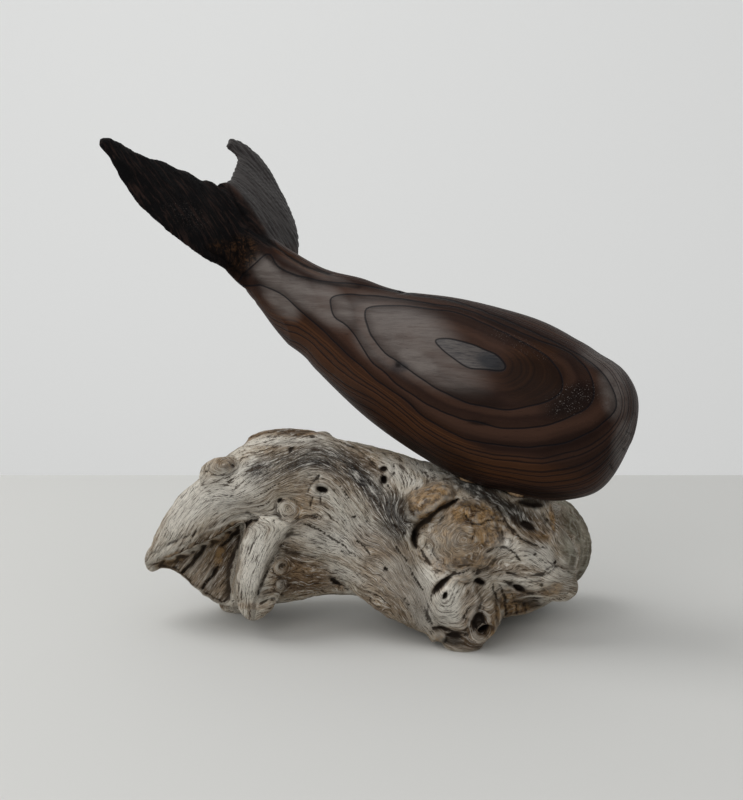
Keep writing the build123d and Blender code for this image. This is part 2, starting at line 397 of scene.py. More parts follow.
# Growth rings on the whale's near flank, as traced in the photograph: level, stored
# name and places. A level is in millimetres along the rings' direction
RING_AIM = np.array((-0.366, -0.821, 0.438))
RINGS = (
    (89, "eye_gap", (436, 340), (451, 339), (471, 344), (494, 354), (505, 365), (502, 371), (487, 370),
     (471, 368), (455, 360), (442, 349)),
    (84.1, "middle_gap", (366, 309), (381, 306), (402, 306), (434, 309), (463, 315), (496, 329), (520, 341),
     (540, 352), (555, 365), (562, 379), (561, 392), (549, 401), (528, 407), (510, 410), (494, 408),
     (471, 404), (447, 394), (422, 379), (402, 365), (385, 353), (371, 335), (366, 320)),
    (80.7, "outer_gap", (331, 298), (342, 295), (369, 295), (402, 299), (434, 304), (463, 309), (496, 322),
     (524, 334), (563, 349), (577, 359), (589, 373), (594, 392), (589, 406), (573, 416), (551, 424),
     (524, 428), (500, 428), (479, 422), (459, 418), (434, 408), (414, 396), (398, 385), (383, 371),
     (371, 361), (359, 341), (347, 326), (335, 317), (331, 306)),
    (77, "wedge_gap", (266, 254), (278, 266), (290, 273), (310, 279), (333, 282), (364, 285), (402, 293),
     (434, 297), (463, 304), (496, 316), (534, 332), (565, 347), (591, 363), (610, 383), (616, 408),
     (602, 424), (585, 434), (565, 443), (534, 447), (504, 446), (475, 441), (451, 432), (426, 418),
     (402, 398), (381, 383), (371, 375), (348, 355), (333, 340), (318, 326), (302, 312), (290, 301),
     (278, 292), (260, 285), (241, 280)),
)
# Levels of further rings that run round the flanks, the back and the belly
RING_LINES = (
    74.6, 73.4, 71, 69.6, 67.2, 65, 63.9, 61, 58.5, 57.2, 54, 50.8,
    49, 45.5, 42, 40.3, 36.5, 32, 29.8, 25, 20.4, 15, 9.8,
)
# Millimetres over which a traced ring bends the levels, how loosely it holds them,
# and the pixels that a metre of depth counts for where its place is sought
RING_REACH, RING_SLACK, DEPTH_WEIGHT = 26.0, 0.02, 60
# Pixels beyond which the distance from a traced ring isn't kept
GAP_REACH = 30.0

# Marks on the whale's near flank: half width in pixels, depth in millimetres,
# strength of the dark and the places of the path
WHALE_MARKS = (
    (0.8, 0.3, 0.9, (625.5, 431.5), (632, 435)), (0.8, 0.3, 0.9, (621.5, 448), (627, 453)),
    (0.8, 0.3, 0.9, (609, 463.5), (615.5, 473)), (0.7, 0.2, 0.7, (631, 412), (636, 415)),
    (1.6, 0.7, 1, (226, 180), (232, 192), (240, 208), (250, 224), (262, 236), (276, 246), (290, 256),
     (304, 265), (318, 270), (336, 275)),
    (1, 0.2, 0.8, (259, 249), (268, 258), (280, 268), (296, 276), (314, 281), (336, 285), (364, 288)),
    (1.5, 0.6, 0.9, (236, 236), (239, 246), (237, 256), (240, 264)),
    (1, 0.4, 0.7, (252, 226), (246, 238), (250, 250), (256, 262)),
    (1.5, 0.8, 1, (205, 248), (222, 258), (238, 268), (252, 276)),
    (0.9, 0.3, 0.9, (394, 289), (401, 293), (410, 294)),
    (1.1, 0.2, 0.6, (394, 360), (400, 366), (408, 369)),
)

# Patches of tone on the near flank. An oval is given by its centre, half its length
# and width, and the degrees that it is turned clockwise. Its strength comes last
# The mauve patches are the wood's mauve-grey tone together with a painted sheen of the light on the upper
# flank and the head
MAUVE_SHEEN_SPOTS = (
    (268, 272, 26, 12, 38, 1), (300, 292, 34, 14, 36, 1), (330, 306, 34, 18, 34, 0.9),
    (400, 328, 62, 28, 22, 0.8), (430, 362, 60, 24, 24, 0.7), (376, 348, 30, 14, 40, 0.6),
    (280, 299, 26, 12, 48, 0.9), (418, 362, 30, 14, 30, 1), (318, 272, 40, 6, 22, 0.35),
    (613, 388, 14, 32, -8, 0.75), (600, 362, 26, 9, 32, 0.5), (621, 438, 9, 24, 10, 0.5),
)
WARM_SPOTS = (
    (532, 374, 34, 28, 22, 1), (320, 350, 64, 16, 46, 0.9), (430, 432, 70, 14, 28, 1),
    (505, 468, 90, 14, 8, 1), (380, 392, 60, 12, 42, 0.8), (545, 347, 16, 8, 20, 0.7),
    (300, 262, 34, 5, 30, 1), (280, 318, 34, 10, 46, 0.7), (560, 330, 60, 8, 26, 0.4),
)
# Black patches: the wood's own near-black, with a painted shadow where the near fluke meets the stock
BLACK_AND_SHADOW_SPOTS = (
    (572, 400, 34, 18, -22, 0.9), (553, 396, 18, 24, 20, 0.6), (440, 470, 70, 9, 36, 0.9),
    (520, 492, 60, 7, 6, 0.8), (228, 266, 24, 9, 30, 1), (262, 236, 16, 8, 38, 0.9),
    (534, 378, 40, 28, 15, 0.85), (476, 398, 36, 10, 14, 0.5), (455, 462, 40, 12, 34, 0.5),
    (502, 322, 26, 8, 22, 0.5), (552, 350, 60, 14, 28, 0.35), (478, 423, 12, 2.5, 8, 0.9),
    (580, 452, 46, 24, -10, 0.45), (250, 215, 10, 26, -25, 0.8), (398, 365, 3, 3, 0, 1),
)
FIGURE_SPOTS = (
    (243, 254, 17, 17, 20, 1), (220, 247, 12, 8, 20, 0.7),
)
CHALK_SPOTS = (
    (572, 399, 28, 15, -22, 0.65), (186, 214, 26, 14, 40, 0.35), (520, 345, 40, 8, 24, 0.3),
)
BLUE_SPOTS = (
    (491, 362, 16, 9, 22, 1), (400, 367, 9, 6, 0, 0.7),
)
WHALE_SPOTS = {
    "mauve_sheen": MAUVE_SHEEN_SPOTS, "warm": WARM_SPOTS, "black_and_shadow": BLACK_AND_SHADOW_SPOTS,
    "figure": FIGURE_SPOTS, "blue": BLUE_SPOTS, "chalk": CHALK_SPOTS,
}

# Small mends of the outline: ovals, and millimetres against the mends' direction
OUTLINE_MENDS = (
    (243, 281, 24, 12, 50, 2.2), (271, 325, 26, 12, 50, -1.5), (320, 362, 18, 9, 45, 0.8),
    (136, 192, 44, 15, 47, 3.4),
)
MEND_AIM = RIGHT * 0.75 + LIFT * 0.66

# Place and directions of the flukes, and the height of their tips, in millimetres
NOTCH = np.array((-75.0, 29.3, 221.0))
FLUKE_AFT = np.array((-0.511, 0.260, 0.819))
FLUKE_OUT = np.array((0.454, 0.891, 0.0))
WHALE_HEADING = np.array((0.891, -0.454, 0.0))
WHALE_TOP = 245.1
# Millimetres over which the flukes part, start from the stock and lose their ripple
MIDLINE, NEAR_START, FAR_START = (-1, 4), (-50, -38), (-52, -40)
RIPPLE_FADE = (232, 242)
# Heights and spacing of the flukes' ridges, chips and fine grain, in millimetres
RIDGE_HEIGHT, RIDGE_SPACING, LINE_HEIGHT = 0.24, 5, 0.1
CHIP_HEIGHT, GRAIN_HEIGHT = 0.42, 0.25

# Tones of the whale's wood, dark and light
BROWN_TONES = ((37, 23, 18), (60, 41, 32))
WARM_TONES = ((38, 22, 14), (84, 53, 31))
# The mauve tones are partly the wood's tone and partly painted sheen
MAUVE_SHEEN_TONES = ((76, 69, 65), (122, 114, 109))
EYE_TONES = ((58, 58, 60), (90, 87, 85))
FAR_FLUKE_TONES = ((40, 38, 38), (80, 78, 77))
NEAR_FLUKE_TONES = ((12, 11, 12), (58, 43, 38))
FIGURE_TONES = ((15, 10, 8), (72, 49, 31))
# The black wood tone also serves as the painted shadow at the near fluke's root
LATE_WOOD, BLUE_BLACK, BLACK_WOOD_AND_SHADOW = (24, 14, 10), (32, 35, 40), (15, 8, 6)
PORE, RING_BLACK, MARK_BLACK, CHALK = (16, 11, 10), (13, 11, 14), (8, 6, 6), (128, 121, 116)


def ring_levels(skin, mm, pixels, facing):
    """Level of every point: flat layers, bent to the traced rings on the near flank."""
    level = mm @ RING_AIM
    open_side = np.flatnonzero(facing > 0.1)
    depth = (skin.points[open_side] @ LOOK) * DEPTH_WEIGHT
    anchors, offsets = [], []
    for height, _, *ring in RINGS:
        for spot in ring:
            gap = np.linalg.norm(pixels[open_side] - spot, axis=1) + depth
            nearest = open_side[np.argmin(gap)]
            anchors.append(mm[nearest])
            offsets.append(height - level[nearest])
    anchors = np.array(anchors)

    def swell(places):
        square = ((places[:, None, :] - anchors[None, :, :]) ** 2).sum(axis=2)
        return np.exp(-square / RING_REACH ** 2)

    weights = np.linalg.solve(swell(anchors) + RING_SLACK * np.eye(len(anchors)), offsets)
    return skin.blurred(level + in_blocks(lambda part: swell(part) @ weights, mm), 2)


def level_slope(skin, mm, level):
    """How fast the level changes over the surface, to draw lines of even width."""
    a, b = skin.edges.T
    slope = np.abs(level[a] - level[b]) / np.maximum(np.linalg.norm(mm[a] - mm[b], axis=1), TINY)
    return np.maximum(skin.blurred(skin.edge_mean(slope, slope) * math.pi / 2, 8), 0.04)


def fluke_relief(mm):
    """Where each fluke is, the ripple of its edge and the height of its grain, in millimetres."""
    aft, out = (mm - NOTCH) @ FLUKE_AFT, (mm - NOTCH) @ FLUKE_OUT
    near = ramp(-out, *MIDLINE) * ramp(aft, *NEAR_START)
    far = ramp(out, *MIDLINE) * ramp(aft, *FAR_START)
    waves = (noise(mm / 8.0, 41) * 1.5 + noise(mm / 4.5, 43) * 0.5) * (1 - ramp(mm[:, 2], *RIPPLE_FADE))
    ridges = np.sin(out * 2 * math.pi / RIDGE_SPACING + noise(mm / 14, 47) * 1.2)
    chips = layers(np.column_stack([(out + 0.25 * aft) / 5, aft / 18, mm[:, 0] / 18]), 53)
    far_push = RIDGE_HEIGHT * ridges + LINE_HEIGHT * np.sin(out * 5.1)
    near_push = CHIP_HEIGHT * chips + GRAIN_HEIGHT * layers(mm / 3.2, 59)
    return near, far, waves * (near + 0.4 * far), far * far_push + near * near_push


def make_whale():
    """The whale's surface, with its rings, marks, flukes and patches of tone, among them a painted sheen
    and a painted shadow.
    """
    skin = Skin("whale", "whale_carving", WHALE_VOXEL)
    skin.points = skin.eased(6, 0.52)
    normals = skin.normals()
    facing = skin.seen(normals)
    pixels = to_photo(skin.points)
    mm = skin.points / MM
    level = ring_levels(skin, mm, pixels, facing)
    near, far, ripple, push = fluke_relief(mm)

    marks = np.zeros(len(mm))
    shaken = pixels + 0.5 * tremble(mm / 3, 61)
    for width, depth, strength, *path in WHALE_MARKS:
        gap, along = path_gap(shaken, path)
        line = np.exp(-(gap / width) ** 2) * facing * ramp(along * (1 - along), 0, 0.05)
        push -= depth * line
        marks = np.maximum(marks, strength * line)
    skin.points += (normals * push[:, None] + FLUKE_AFT * ripple[:, None]) * MM
    for *oval, amount in OUTLINE_MENDS:
        fill = amount * np.clip(1 - oval_gap(pixels, *oval) ** 2, 0, 1)
        skin.points -= MEND_AIM * (fill * MM)[:, None]
    skin.points[:, 2] = np.minimum(skin.points[:, 2], WHALE_TOP * MM)

    front = np.flatnonzero(facing > 0.02)
    shaken = (pixels + 0.8 * tremble(mm / 7, 73))[front]
    for _, name, *ring in RINGS:
        gap = np.full(len(mm), -GAP_REACH)
        gap[front] = np.clip(outline_gap(shaken, rounded(ring)), -GAP_REACH, GAP_REACH)
        skin.store({name: gap})
    skin.store({"level": level, "steep": level_slope(skin, mm, level), "near_fluke": near,
                "far_fluke": far, "marks": marks})
    skin.store({name: spots(pixels, table) * facing for name, table in WHALE_SPOTS.items()})
    skin.finish("whale", whale_material())
    return skin


def ring_lines(g, level, far):
    """Dark lines of the further rings, outside the traced ones, and of the traced rings."""
    steep = g.read("steep")
    lines = 0
    for height in RING_LINES:
        gap = g.math("ABSOLUTE", g.math("DIVIDE", g.plus(level, -height), steep))
        lines = g.most(lines, g.step(gap, 0.12, 0.65, 0.85, 0))
    outside = g.step(g.read("wedge_gap"), -1, 1, 1, 0)
    lines = g.times(lines, g.times(outside, g.rest(far)))
    for _, name, *_ in RINGS:
        gap = g.math("ABSOLUTE", g.read(name))
        lines = g.most(lines, g.step(gap, 0.35, 1.25, 1, 0))
    return lines


def late_wood(g, name):
    """Share of the dark that lies just inside a traced ring."""
    gap = g.read(name)
    return g.times(g.step(gap, -0.5, 0.5), g.step(gap, 0, 9, 0.5, 0))


def whale_material():
    """Oiled dark wood: thin black rings, mauve, brown and golden bands, black flukes. The mauve upper flank
    carries a painted sheen, and a painted shadow darkens the near fluke's root.
    """
    g = Graph("dark_ringed_wood")
    place = g.place(1000, 1000, 1000)
    near, far = g.read("near_fluke"), g.read("far_fluke")
    along, side, aft, up = (g.dot(place, aim) for aim in (WHALE_HEADING, FLUKE_OUT, FLUKE_AFT, (0, 0, 1)))
    level = g.plus(g.read("level"), g.times(g.plus(g.noise(place, 0.06), -0.5), 0.9))
    lines = ring_lines(g, level, far)

    # Grain that runs along the body and fans out over the flukes
    body_place = g.join(g.times(along, 0.09), side, up)
    fluke_place = g.join(g.plus(side, g.times(aft, 0.25)), g.times(aft, 0.07), g.times(along, 0.07))
    streak = g.noise(fluke_place, 0.9, 4, 0.7)
    grain = g.blend(g.most(near, far), g.noise(body_place, 1.3, 4, 0.7), streak)
    band = g.noise(g.join(g.times(level, 0.32), 3, 0), 1, 2, 0.5)
    edge = g.noise(g.join(g.times(level, 2.2), 0, 0), 1, 4, 0.75)
    mottle = g.step(g.noise(body_place, 0.22, 4, 0.65), 0.36, 0.58, 0.5, 0.92)
    curl = g.noise(g.curled(place, 0.12, 14), 0.5, 4, 0.7)
    speck = g.step(g.noise(place, 1.9, 2, 0.5), 0.63, 0.7)

    colour = g.coats(g.mix(g.step(band, 0.35, 0.65), *BROWN_TONES), (
        (g.share("warm", 0.85), g.mix(g.step(edge, 0.35, 0.7), *WARM_TONES)),
        # Mauve-grey wood with painted sheen on the upper flank and the head
        (g.times(g.read("mauve_sheen"), mottle), g.mix(grain, *MAUVE_SHEEN_TONES)),
        (g.step(g.read("eye_gap"), -0.6, 0.6, 0, 0.75), g.mix(g.step(grain, 0.35, 0.6), *EYE_TONES)),
        *((late_wood(g, name), LATE_WOOD) for _, name, *_ in RINGS[1:]),
        (g.share("blue", 0.75), BLUE_BLACK),
        # Near-black wood, and the painted shadow at the near fluke's root
        (g.share("black_and_shadow", 0.88), BLACK_WOOD_AND_SHADOW),
        (g.times(far, 0.9), g.mix(g.step(grain, 0.4, 0.65), *FAR_FLUKE_TONES)),
        (near, g.mix(g.step(streak, 0.5, 0.72), *NEAR_FLUKE_TONES)),
        (g.share("figure", 0.8), g.mix(g.step(curl, 0.45, 0.66), *FIGURE_TONES)),
        (g.step(grain, 0.56, 0.72, 0, 0.45), PORE),
        (g.times(lines, g.plus(g.times(near, -0.5), 0.88)), RING_BLACK),
        (g.share("marks", 0.9), MARK_BLACK),
        (g.times(speck, g.read("chalk")), CHALK),
    ))
    rough = g.times(g.noise(place, 0.9, 4, 0.7), g.plus(g.times(near, 2.5), 0.1))
    height = g.plus(g.plus(g.times(grain, -0.6), g.times(lines, -0.5)), rough)
    # The specular level rises where the painted sheen lies
    return g.surface(colour, g.plus(0.42, g.times(near, 0.2)), g.plus(0.05, g.share("mauve_sheen", 0.12)),
                     g.bump(height, 0.00035, 0.8))


# Driftwood as read in the photograph. Fibres run along these paths, and the number
# before a path is how far across the fibres it lies, in millimetres
FIBRES = (
    (0, (145, 560), (160, 532), (186, 491), (208, 459), (236, 442), (279, 429), (324, 430), (372, 440),
     (400, 452), (426, 466), (449, 481), (470, 495), (499, 506), (518, 530), (533, 542), (548, 553),
     (564, 570)),
    (10, (148, 564), (177, 521), (206, 488), (236, 471), (262, 466), (287, 454), (317, 445), (346, 459),
     (372, 476), (388, 491), (395, 510), (405, 530), (408, 550), (420, 575), (433, 600)),
    (18, (186, 528), (236, 501), (270, 484), (296, 469), (317, 462), (338, 471), (358, 493), (375, 515),
     (400, 535), (411, 565), (425, 590), (436, 615)),
    (36, (236, 508), (263, 508), (287, 499), (312, 494), (321, 496), (338, 508), (355, 528), (380, 545),
     (400, 562), (415, 590), (428, 620)),
    (55, (253, 525), (279, 530), (304, 535), (338, 545), (372, 565), (400, 589), (415, 612), (425, 632)),
    (78, (267, 599), (304, 592), (346, 591), (372, 604), (400, 628)),
    (8, (449, 567), (475, 567), (495, 555), (510, 550), (533, 558), (556, 573), (571, 578)),
    (16, (480, 573), (503, 570), (533, 579), (564, 585)),
)
# How loosely the fibres follow the paths, and pixels in one unit of their field
FIBRE_SLACK, FIBRE_UNIT = 5e-3, 100

# Ovals of knots that the fibres run round, and whose own grain is rings
KNOTS = (
    (464, 538, 37, 34, 0), (288, 509, 12, 10, 60), (282, 567, 8, 8, 0), (280, 585, 6, 6, 0),
    (480, 626, 14, 16, 0), (224, 464, 15, 9, -5), (428, 502, 29, 18, -32), (322, 490, 7, 4.5, 12),
)
# The thumb-like roll at the left: its middle line, half its width at each place,
# its height in millimetres, and the rows of pixels over which it starts and ends
THUMB = ((274, 514), (267, 530), (260, 545), (255, 560), (250, 575), (247, 590), (245, 604))
THUMB_HALF = (26, 23, 20, 18, 15, 12, 9)
THUMB_HEIGHT, THUMB_START, THUMB_END = 4.2, (512, 530), (584, 602)

# Recesses and raised plates: soft edge in pixels, height in millimetres and the
# outline's places. The first is the broken end at the left
PLATES = (
    (3, -3.5, (258, 519), (235, 522), (212, 532), (188, 546), (166, 556), (150, 564), (178, 576),
     (200, 590), (207, 604), (223, 607), (234, 592), (232, 577), (234, 560), (241, 543), (250, 527)),
    (6, -3.5, (283, 545), (310, 552), (330, 562), (348, 580), (352, 593), (300, 596), (262, 603),
     (270, 580), (278, 560)),
    (2.5, 3.4, (446, 584), (453, 577), (462, 573), (471, 571), (477, 577), (474, 588), (480, 600),
     (474, 618), (464, 629), (450, 627), (436, 626), (430, 614), (434, 598)),
    (4, -3, (498, 587), (512, 585), (526, 594), (541, 600), (538, 613), (520, 624), (500, 632), (494, 618),
     (492, 600)),
    (4, -3, (508, 505), (520, 499), (545, 503), (549, 520), (548, 538), (536, 541), (522, 532), (512, 520)),
)

# Grooves and cracks: half width in pixels, depth in millimetres and the path's places
GROOVES = (
    (1.4, 3.5, (217, 568), (209, 579), (200, 590)), (0.9, 1, (437, 525), (441, 518), (449, 513)),
    (0.9, 0.9, (472, 523), (474, 533), (471, 541)), (0.9, 0.9, (410, 500), (410, 507), (414, 514)),
    (0.8, 0.8, (417, 486), (416, 495)), (0.8, 0.9, (319, 474), (318, 486)),
    (0.8, 0.9, (320, 495), (322, 514)), (0.8, 0.9, (312, 496), (309, 515)),
    (0.9, 0.9, (308, 490), (314, 481), (320, 475)), (0.9, 0.9, (368, 478), (376, 486), (384, 490)),
    (1, 1.4, (502, 588), (506, 602), (506, 624)), (1, 1.4, (512, 594), (517, 606), (516, 622)),
    (0.9, 1.2, (524, 600), (526, 610), (523, 619)), (0.9, 1.2, (463, 615), (473, 622)),
    (0.9, 1.2, (484, 607), (482, 618)), (0.9, 1.2, (494, 622), (484, 625)),
    (0.9, 1.2, (466, 636), (474, 628)), (0.9, 1.2, (489, 640), (483, 630)),
    (1.3, 1.4, (356, 541), (364, 546), (371, 554)), (1, 1, (400, 515), (404, 505), (409, 498)),
    (1, 1.2, (502, 580), (520, 583), (540, 582)), (1.1, 1.1, (186, 486), (200, 474), (208, 470)),
    (2.4, 1.1, (144, 562), (155, 553), (166, 546), (180, 539), (196, 533), (212, 526), (224, 520),
     (234, 516), (246, 514), (254, 517), (259, 521)),
    (1.2, 0.9, (178, 546), (198, 538), (214, 530), (230, 526)),
    (1.8, 3, (206, 544), (198, 555), (189, 565), (180, 575)),
    (1.3, 3, (253, 519), (246, 526), (236, 533), (227, 541), (219, 547)),
    (1, 1.6, (244, 546), (240, 560), (238, 574), (240, 590)),
    (2, 2.6, (226, 452), (236, 445), (249, 438), (264, 435), (284, 433), (300, 436), (314, 438)),
    (2.8, 6, (458, 500), (447, 506), (438, 510), (430, 517), (424, 522), (417, 531), (414, 539),
     (417, 547)),
    (1.1, 1.2, (420, 545), (424, 556), (430, 563), (438, 570), (448, 575)),
    (1, 1, (430, 541), (433, 553), (440, 562), (449, 568)),
    (1.2, 1.4, (462, 571), (453, 575), (446, 582), (440, 589), (433, 595)),
    (1.5, 2.2, (497, 507), (504, 520), (511, 530), (521, 539), (534, 545), (544, 547)),
    (1.1, 1.2, (490, 503), (498, 515), (505, 527), (516, 537)),
    (1.1, 1.4, (464, 509), (466, 517), (472, 523), (479, 524), (486, 521), (494, 520), (503, 522)),
    (1.2, 1.8, (432, 628), (441, 627), (452, 631), (466, 635)),
    (0.7, 0.7, (309, 517), (322, 516), (336, 518), (348, 521)),
    (1, 1.2, (394, 464), (395, 471), (391, 477), (388, 484)),
    (2, 3.4, (503, 581), (514, 587), (524, 592), (535, 597), (549, 602)),
    (1.4, 1.6, (493, 584), (496, 600), (498, 614), (498, 629)),
    (1.8, 1.3, (276, 552), (269, 564), (263, 577), (258, 592)),
    (1.4, 1.6, (507, 573), (525, 577), (546, 575), (556, 568)),
    (1.1, 1.3, (486, 552), (493, 547), (503, 547), (514, 553), (522, 562)),
    (0.9, 0.9, (270, 446), (290, 441), (316, 443), (344, 452)),
    (1.2, 1.4, (330, 440), (352, 447), (370, 458), (380, 470), (388, 484)),
    (1.2, 1.2, (404, 455), (424, 462), (441, 473), (450, 484)),
    (1, 1.2, (395, 545), (405, 560), (414, 577), (424, 590)),
)

# Holes: ovals with their depth in millimetres
HOLES = (
    (322, 489.5, 6.5, 3.8, 14, 6), (334, 490, 1.3, 1.3, 0, 1.5), (384, 468, 4.4, 3, 10, 3.5),
    (384, 478.5, 3.8, 3.8, 0, 6), (280.5, 501, 3, 2.2, -30, 2.5), (291, 449, 4.2, 2.6, -30, 1.6),
    (445, 595, 2.6, 3.8, 20, 5), (442, 584, 12, 3.6, -40, 3.5), (455, 636, 8, 3.5, 10, 3),
    (479, 582, 6.5, 3.4, 12, 5), (479, 622, 8.5, 10, 10, 6.5), (335, 583, 7.5, 2.8, 35, 3),
    (529, 527, 9, 4.5, 25, 4), (520, 590, 7, 3.4, 25, 4), (386, 569, 2.6, 1.8, 35, 1.2),
    (354, 517, 1.5, 1.2, 0, 1), (366, 522, 1.3, 1.2, 0, 0.8), (233, 466, 2.6, 1.6, 60, 1.2),
    (282, 566, 4.6, 2.6, -10, 1.8), (395, 526, 3, 1.6, 30, 1.2), (531, 503, 13, 4.5, 6, 4),
    (405, 533, 2, 1.4, 0, 1), (414, 535, 2.4, 5, 10, 3), (375, 500, 1.4, 1, 30, 0.8),
    (343, 552, 4, 1, 25, 0.8), (556, 562, 2.2, 1.6, -40, 1.2),
)

# Lumps: ovals with their height in millimetres and how flat the top is
LUMPS = (
    (222, 464, 17, 11, -8, 3.4, 2), (288, 510, 12, 10, 60, 1.8, 4), (282, 568, 8.5, 8, 0, 3, 4),
    (280, 586, 7.5, 7, 0, 3, 2), (428, 502, 30, 18, -32, 5.5, 4), (464, 538, 38, 35, 0, 4.5, 4),
    (460, 538, 19, 18, 0, 1.3, 2), (548, 552, 13, 10, 30, 2.8, 2), (558, 582, 16, 15, 20, 4.2, 4),
    (439, 637, 8, 8, 20, 4, 4), (480, 626, 15, 17, 0, 2.6, 4), (466, 573, 12, 8, -20, 2.4, 4),
    (323, 430, 9, 5, 0, 2.4, 2), (270, 433, 44, 5, -12, 1.8, 2), (345, 452, 30, 12, 20, 1.2, 2),
    (210, 500, 30, 16, -50, 1.2, 2), (530, 579, 40, 6, 2, 1.6, 2), (512, 545, 22, 10, 25, 1.2, 2),
    (420, 470, 26, 8, 22, 1.4, 2), (285, 525, 24, 8, 10, 1.2, 2), (480, 640, 12, 8, 0, 1.2, 2),
)

# Broad patches of colour: ovals with their strength
GOLD_SPOTS = (
    (429, 502, 32, 20, -32, 1), (472, 513, 34, 14, 8, 1), (487, 532, 20, 18, 0, 0.85),
    (468, 561, 34, 9, 0, 0.75), (442, 528, 10, 14, 30, 0.5), (460, 541, 27, 22, 0, 0.4),
    (219, 462, 5, 4, 0, 0.5), (230, 466, 7, 6, 0, 0.5), (172, 559, 17, 7, -18, 0.8),
    (224, 534, 20, 6, -38, 0.9), (219, 556, 5, 18, 16, 0.9), (513, 606, 22, 18, -15, 0.9),
    (553, 520, 3, 19, -4, 1), (553, 590, 12, 7, -20, 0.6), (461, 579, 12, 5, -20, 0.6),
    (493, 626, 4, 13, 0, 1), (299, 511, 4, 10, 10, 0.6), (306, 501, 14, 8, 10, 0.35),
    (440, 567, 14, 6, 30, 0.5), (438, 637, 5, 5, 0, 0.7), (386, 448, 14, 4, 20, 0.3),
    (545, 536, 10, 3, 10, 0.8),
)
BROWN_SPOTS = (
    (302, 576, 36, 19, 12, 1), (290, 546, 16, 7, 10, 0.6), (258, 606, 34, 4, 0, 0.7),
    (395, 592, 44, 24, 35, 0.45), (495, 570, 30, 6, 10, 0.5), (470, 642, 26, 9, 0, 0.9),
    (478, 624, 18, 20, 0, 1), (452, 632, 16, 6, 10, 0.7), (535, 528, 20, 12, 35, 0.9),
    (520, 612, 26, 16, -10, 0.7), (365, 462, 30, 10, 40, 0.5), (360, 546, 14, 6, 30, 0.55),
    (291, 449, 6, 4, -20, 0.8), (345, 472, 36, 20, 32, 0.65), (378, 545, 30, 14, 34, 0.6),
    (462, 544, 34, 30, 0, 0.5), (470, 602, 12, 22, 10, 0.7), (570, 535, 20, 34, 0, 0.4),
    (310, 520, 30, 14, 10, 0.4), (385, 505, 18, 24, -30, 0.4), (334, 585, 14, 6, 30, 0.8),
    (425, 520, 24, 8, -48, 0.7), (505, 570, 34, 8, 6, 0.45), (306, 490, 10, 12, 20, 0.45),
    (440, 585, 14, 6, -40, 0.6), (352, 605, 50, 5, 22, 0.5),
)
# Painted shade: the whale's shadow on the root under its belly, and shade in holes, creases and the gaps
# under the flap and the lip
PAINTED_SHADE_SPOTS = (
    (531, 503, 16, 6, 4, 1), (529, 527, 12, 5, 25, 0.7), (479, 622, 7, 9, 0, 0.9),
    (452, 641, 14, 4, 15, 0.9), (415, 536, 4, 12, 10, 0.8), (253, 517, 6, 3, 20, 0.7),
    (530, 602, 16, 7, 10, 0.75), (472, 506, 16, 5, 10, 0.45), (492, 497, 24, 8, 22, 0.4),
    (262, 592, 5, 12, 15, 0.4), (510, 505, 40, 4, 22, 0.5),
)
# Slate patches: slate-grey charred wood, and the whale's painted shadow on the root right under its belly
SLATE_AND_SHADOW_SPOTS = (
    (478, 489, 34, 9, 25, 1), (510, 511, 30, 10, 32, 1), (450, 470, 22, 6, 30, 0.8),
    (400, 510, 14, 24, -30, 0.8), (392, 530, 20, 9, 20, 0.6), (533, 548, 12, 8, 20, 0.4),
    (366, 482, 26, 10, 42, 0.6), (312, 460, 34, 7, -8, 0.6),
)
PALE_SPOTS = (
    (190, 505, 40, 20, -50, 0.9), (254, 562, 12, 36, 12, 1), (458, 536, 13, 12, 0, 0.4),
    (370, 535, 34, 12, 25, 0.7), (300, 540, 30, 7, 10, 0.5), (452, 604, 16, 22, 15, 0.9),
    (285, 441, 38, 5, -3, 0.9), (547, 551, 10, 8, 20, 0.9), (424, 471, 24, 5, 24, 0.8),
    (281, 585, 5, 5, 0, 0.9), (425, 580, 16, 22, -20, 0.6), (332, 474, 16, 4, 6, 0.4),
    (434, 560, 6, 16, -30, 0.7), (333, 520, 16, 10, 20, 0.5), (515, 548, 24, 6, 28, 0.6),
    (510, 578, 30, 3, 3, 0.5), (232, 486, 46, 20, -30, 1), (330, 540, 40, 12, 18, 1),
    (420, 606, 14, 28, -24, 1), (540, 559, 20, 10, 20, 1), (500, 541, 16, 10, 30, 1),
    (345, 574, 26, 6, 20, 0.7), (400, 472, 26, 8, 36, 0.7), (395, 575, 20, 30, -36, 0.5),
)
ROOT_SPOTS = {
    "gold": GOLD_SPOTS, "brown": BROWN_SPOTS, "painted_shade": PAINTED_SHADE_SPOTS, "slate_and_shadow": SLATE_AND_SHADOW_SPOTS, "pale": PALE_SPOTS,
}
STONE_SPOTS = (
    (577, 541, 17, 44, -6, 1),
)
# The charred band and the brown ridge at the top left
CHAR_PATH = (
    (259, 472), (285, 464), (315, 457), (339, 462), (360, 476), (377, 496), (390, 514), (402, 528),
)
RIDGE_PATH = (
    (227, 448), (238, 440), (251, 434), (268, 430), (288, 429), (300, 432), (314, 432),
)

# Heights over which the feet are smoothed less, and distances from the whale and the
# table over which the relief fades out
FOOT_FADE, FREE_ROOM = (0.6 * MM, 4 * MM), (0.8 * MM, 5 * MM)
# Pixels of a cell that finds what lies in front, and the depths behind it over
# which the near side's forms fade out
VIEW_CELL, HIDDEN_DEPTHS = 5, (9 * MM, 16 * MM)
# Knots and pits on the hidden sides, and numbers that spread them over the mesh
FAR_KNOTS, SPREAD, SPREAD_START = 18, 7919, 311

# Tones of the driftwood, in pairs that a pattern mixes
GREY_TONES = ((212, 205, 191), (168, 152, 130))
HOLLOW_TONES = ((146, 118, 86), (92, 71, 50))
GOLD_TONES = ((66, 45, 27), (172, 138, 94))
